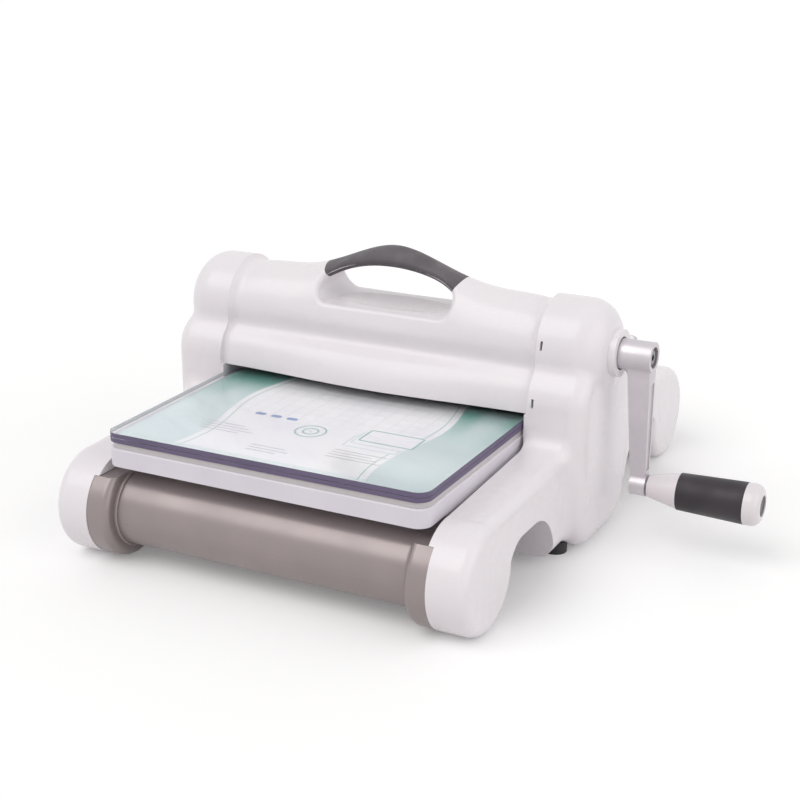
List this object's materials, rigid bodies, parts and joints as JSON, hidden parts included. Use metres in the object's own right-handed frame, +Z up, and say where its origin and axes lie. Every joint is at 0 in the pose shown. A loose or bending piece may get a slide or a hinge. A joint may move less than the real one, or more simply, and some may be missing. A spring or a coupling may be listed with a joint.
{
  "type": "die cutting machine",
  "caption": "Hand-cranked roller die cutting machine: a flat platform passes between steel rollers in a moulded case with a carrying handle and tube supports.",
  "frame": {"origin": "on the floor, below the middle of the bounding box, crank and knob included", "axes": "+X along the rollers towards the crank, +Y from the pictured feed side to the back, +Z up"},
  "size_m": [0.416, 0.3954, 0.1829],
  "materials": {
    "white_shell": "gloss moulded plastic",
    "silver_cover": "satin metallic paint on plastic",
    "soft_grip": "matt moulded soft plastic",
    "knob_white": "gloss moulded plastic",
    "knob_rubber": "matt soft sleeve",
    "dark_plug": "matt plastic",
    "cast_crank": "satin casting",
    "bright_steel": "ground steel",
    "plate_steel": "zinc plated sheet steel",
    "gear_steel": "cut steel",
    "fastener": "zinc plated",
    "bronze": "sintered bronze",
    "board_white": "satin moulded plastic",
    "printed_sheet": "printed sheet under a clear film",
    "clear_pad": "clear polycarbonate",
    "foot_rubber": "matt rubber",
    "base_sheet": "painted sheet steel"
  },
  "bodies": {
    "frame": {"left_housing": "white_shell", "right_housing": "white_shell", "left_inner_cover": "white_shell", "right_inner_cover": "white_shell", "left_side_plate": "plate_steel", "right_side_plate": "plate_steel", "upper_tie_bars": "bright_steel", "lower_tie_bars": "bright_steel", "tie_bar_nuts": "fastener", "front_tube_cover": "silver_cover", "rear_tube_cover": "silver_cover", "front_tie_rod": "bright_steel", "rear_tie_rod": "bright_steel", "bridge_front_shell": "white_shell", "bridge_rear_shell": "white_shell", "bridge_screws": "fastener", "handle_grip": "soft_grip", "base_cover": "white_shell", "base_plate": "base_sheet", "base_screws": "fastener", "rubber_feet": "foot_rubber", "housing_screws": "fastener", "upper_left_bush": "bronze", "upper_right_bush": "bronze", "lower_left_bush": "bronze", "lower_right_bush": "bronze", "crank_inner_bush": "bronze", "crank_outer_bush": "bronze"},
    "crank": {"crank_arm": "cast_crank", "crank_shaft": "bright_steel", "crank_pinion": "gear_steel", "crank_screw": "fastener", "crank_washer": "fastener", "crank_shaft_clip": "fastener", "knob_spindle": "bright_steel"},
    "knob": {"knob_core": "knob_white", "knob_sleeve": "knob_rubber", "knob_end_cap": "knob_white", "knob_plug": "dark_plug"},
    "upper_roll": {"upper_roller": "bright_steel", "drive_gear": "gear_steel", "upper_sync_gear": "gear_steel", "upper_roller_clips": "fastener"},
    "lower_roll": {"lower_roller": "bright_steel", "lower_sync_gear": "gear_steel", "lower_roller_clips": "fastener"},
    "platform": {"platform_base": "board_white", "platform_label": "printed_sheet", "lower_cutting_pad": "clear_pad", "upper_cutting_pad": "clear_pad"}
  },
  "joints": [
    {"name": "crank_turn", "type": "hinge", "parent": "frame", "child": "crank", "pos_m": [0.097, 0, 0.1299], "axis": [1, 0, 0], "range_deg": [-1116, 1116]},
    {"name": "knob_spin", "type": "hinge", "parent": "crank", "child": "knob", "pos_m": [0.167, 0, 0.0424], "axis": [1, 0, 0], "continuous": true},
    {"name": "upper_roller_turn", "type": "hinge", "parent": "frame", "child": "upper_roll", "pos_m": [-0.053, 0, 0.1059], "axis": [1, 0, 0], "range_deg": [-609.23, 609.23]},
    {"name": "lower_roller_turn", "type": "hinge", "parent": "frame", "child": "lower_roll", "pos_m": [-0.053, 0, 0.0509], "axis": [1, 0, 0], "range_deg": [-609.23, 609.23]},
    {"name": "platform_slide", "type": "slide", "parent": "frame", "child": "platform", "axis": [0, 1, 0], "range_m": [-0.17019, 0.17019]}
  ],
  "couplings": [
    {"joint": "upper_roller_turn", "follows": "crank_turn", "ratio": -0.54545},
    {"joint": "lower_roller_turn", "follows": "crank_turn", "ratio": 0.54545},
    {"joint": "platform_slide", "follows": "crank_turn", "m_per_rad": -0.0087273}
  ]
}
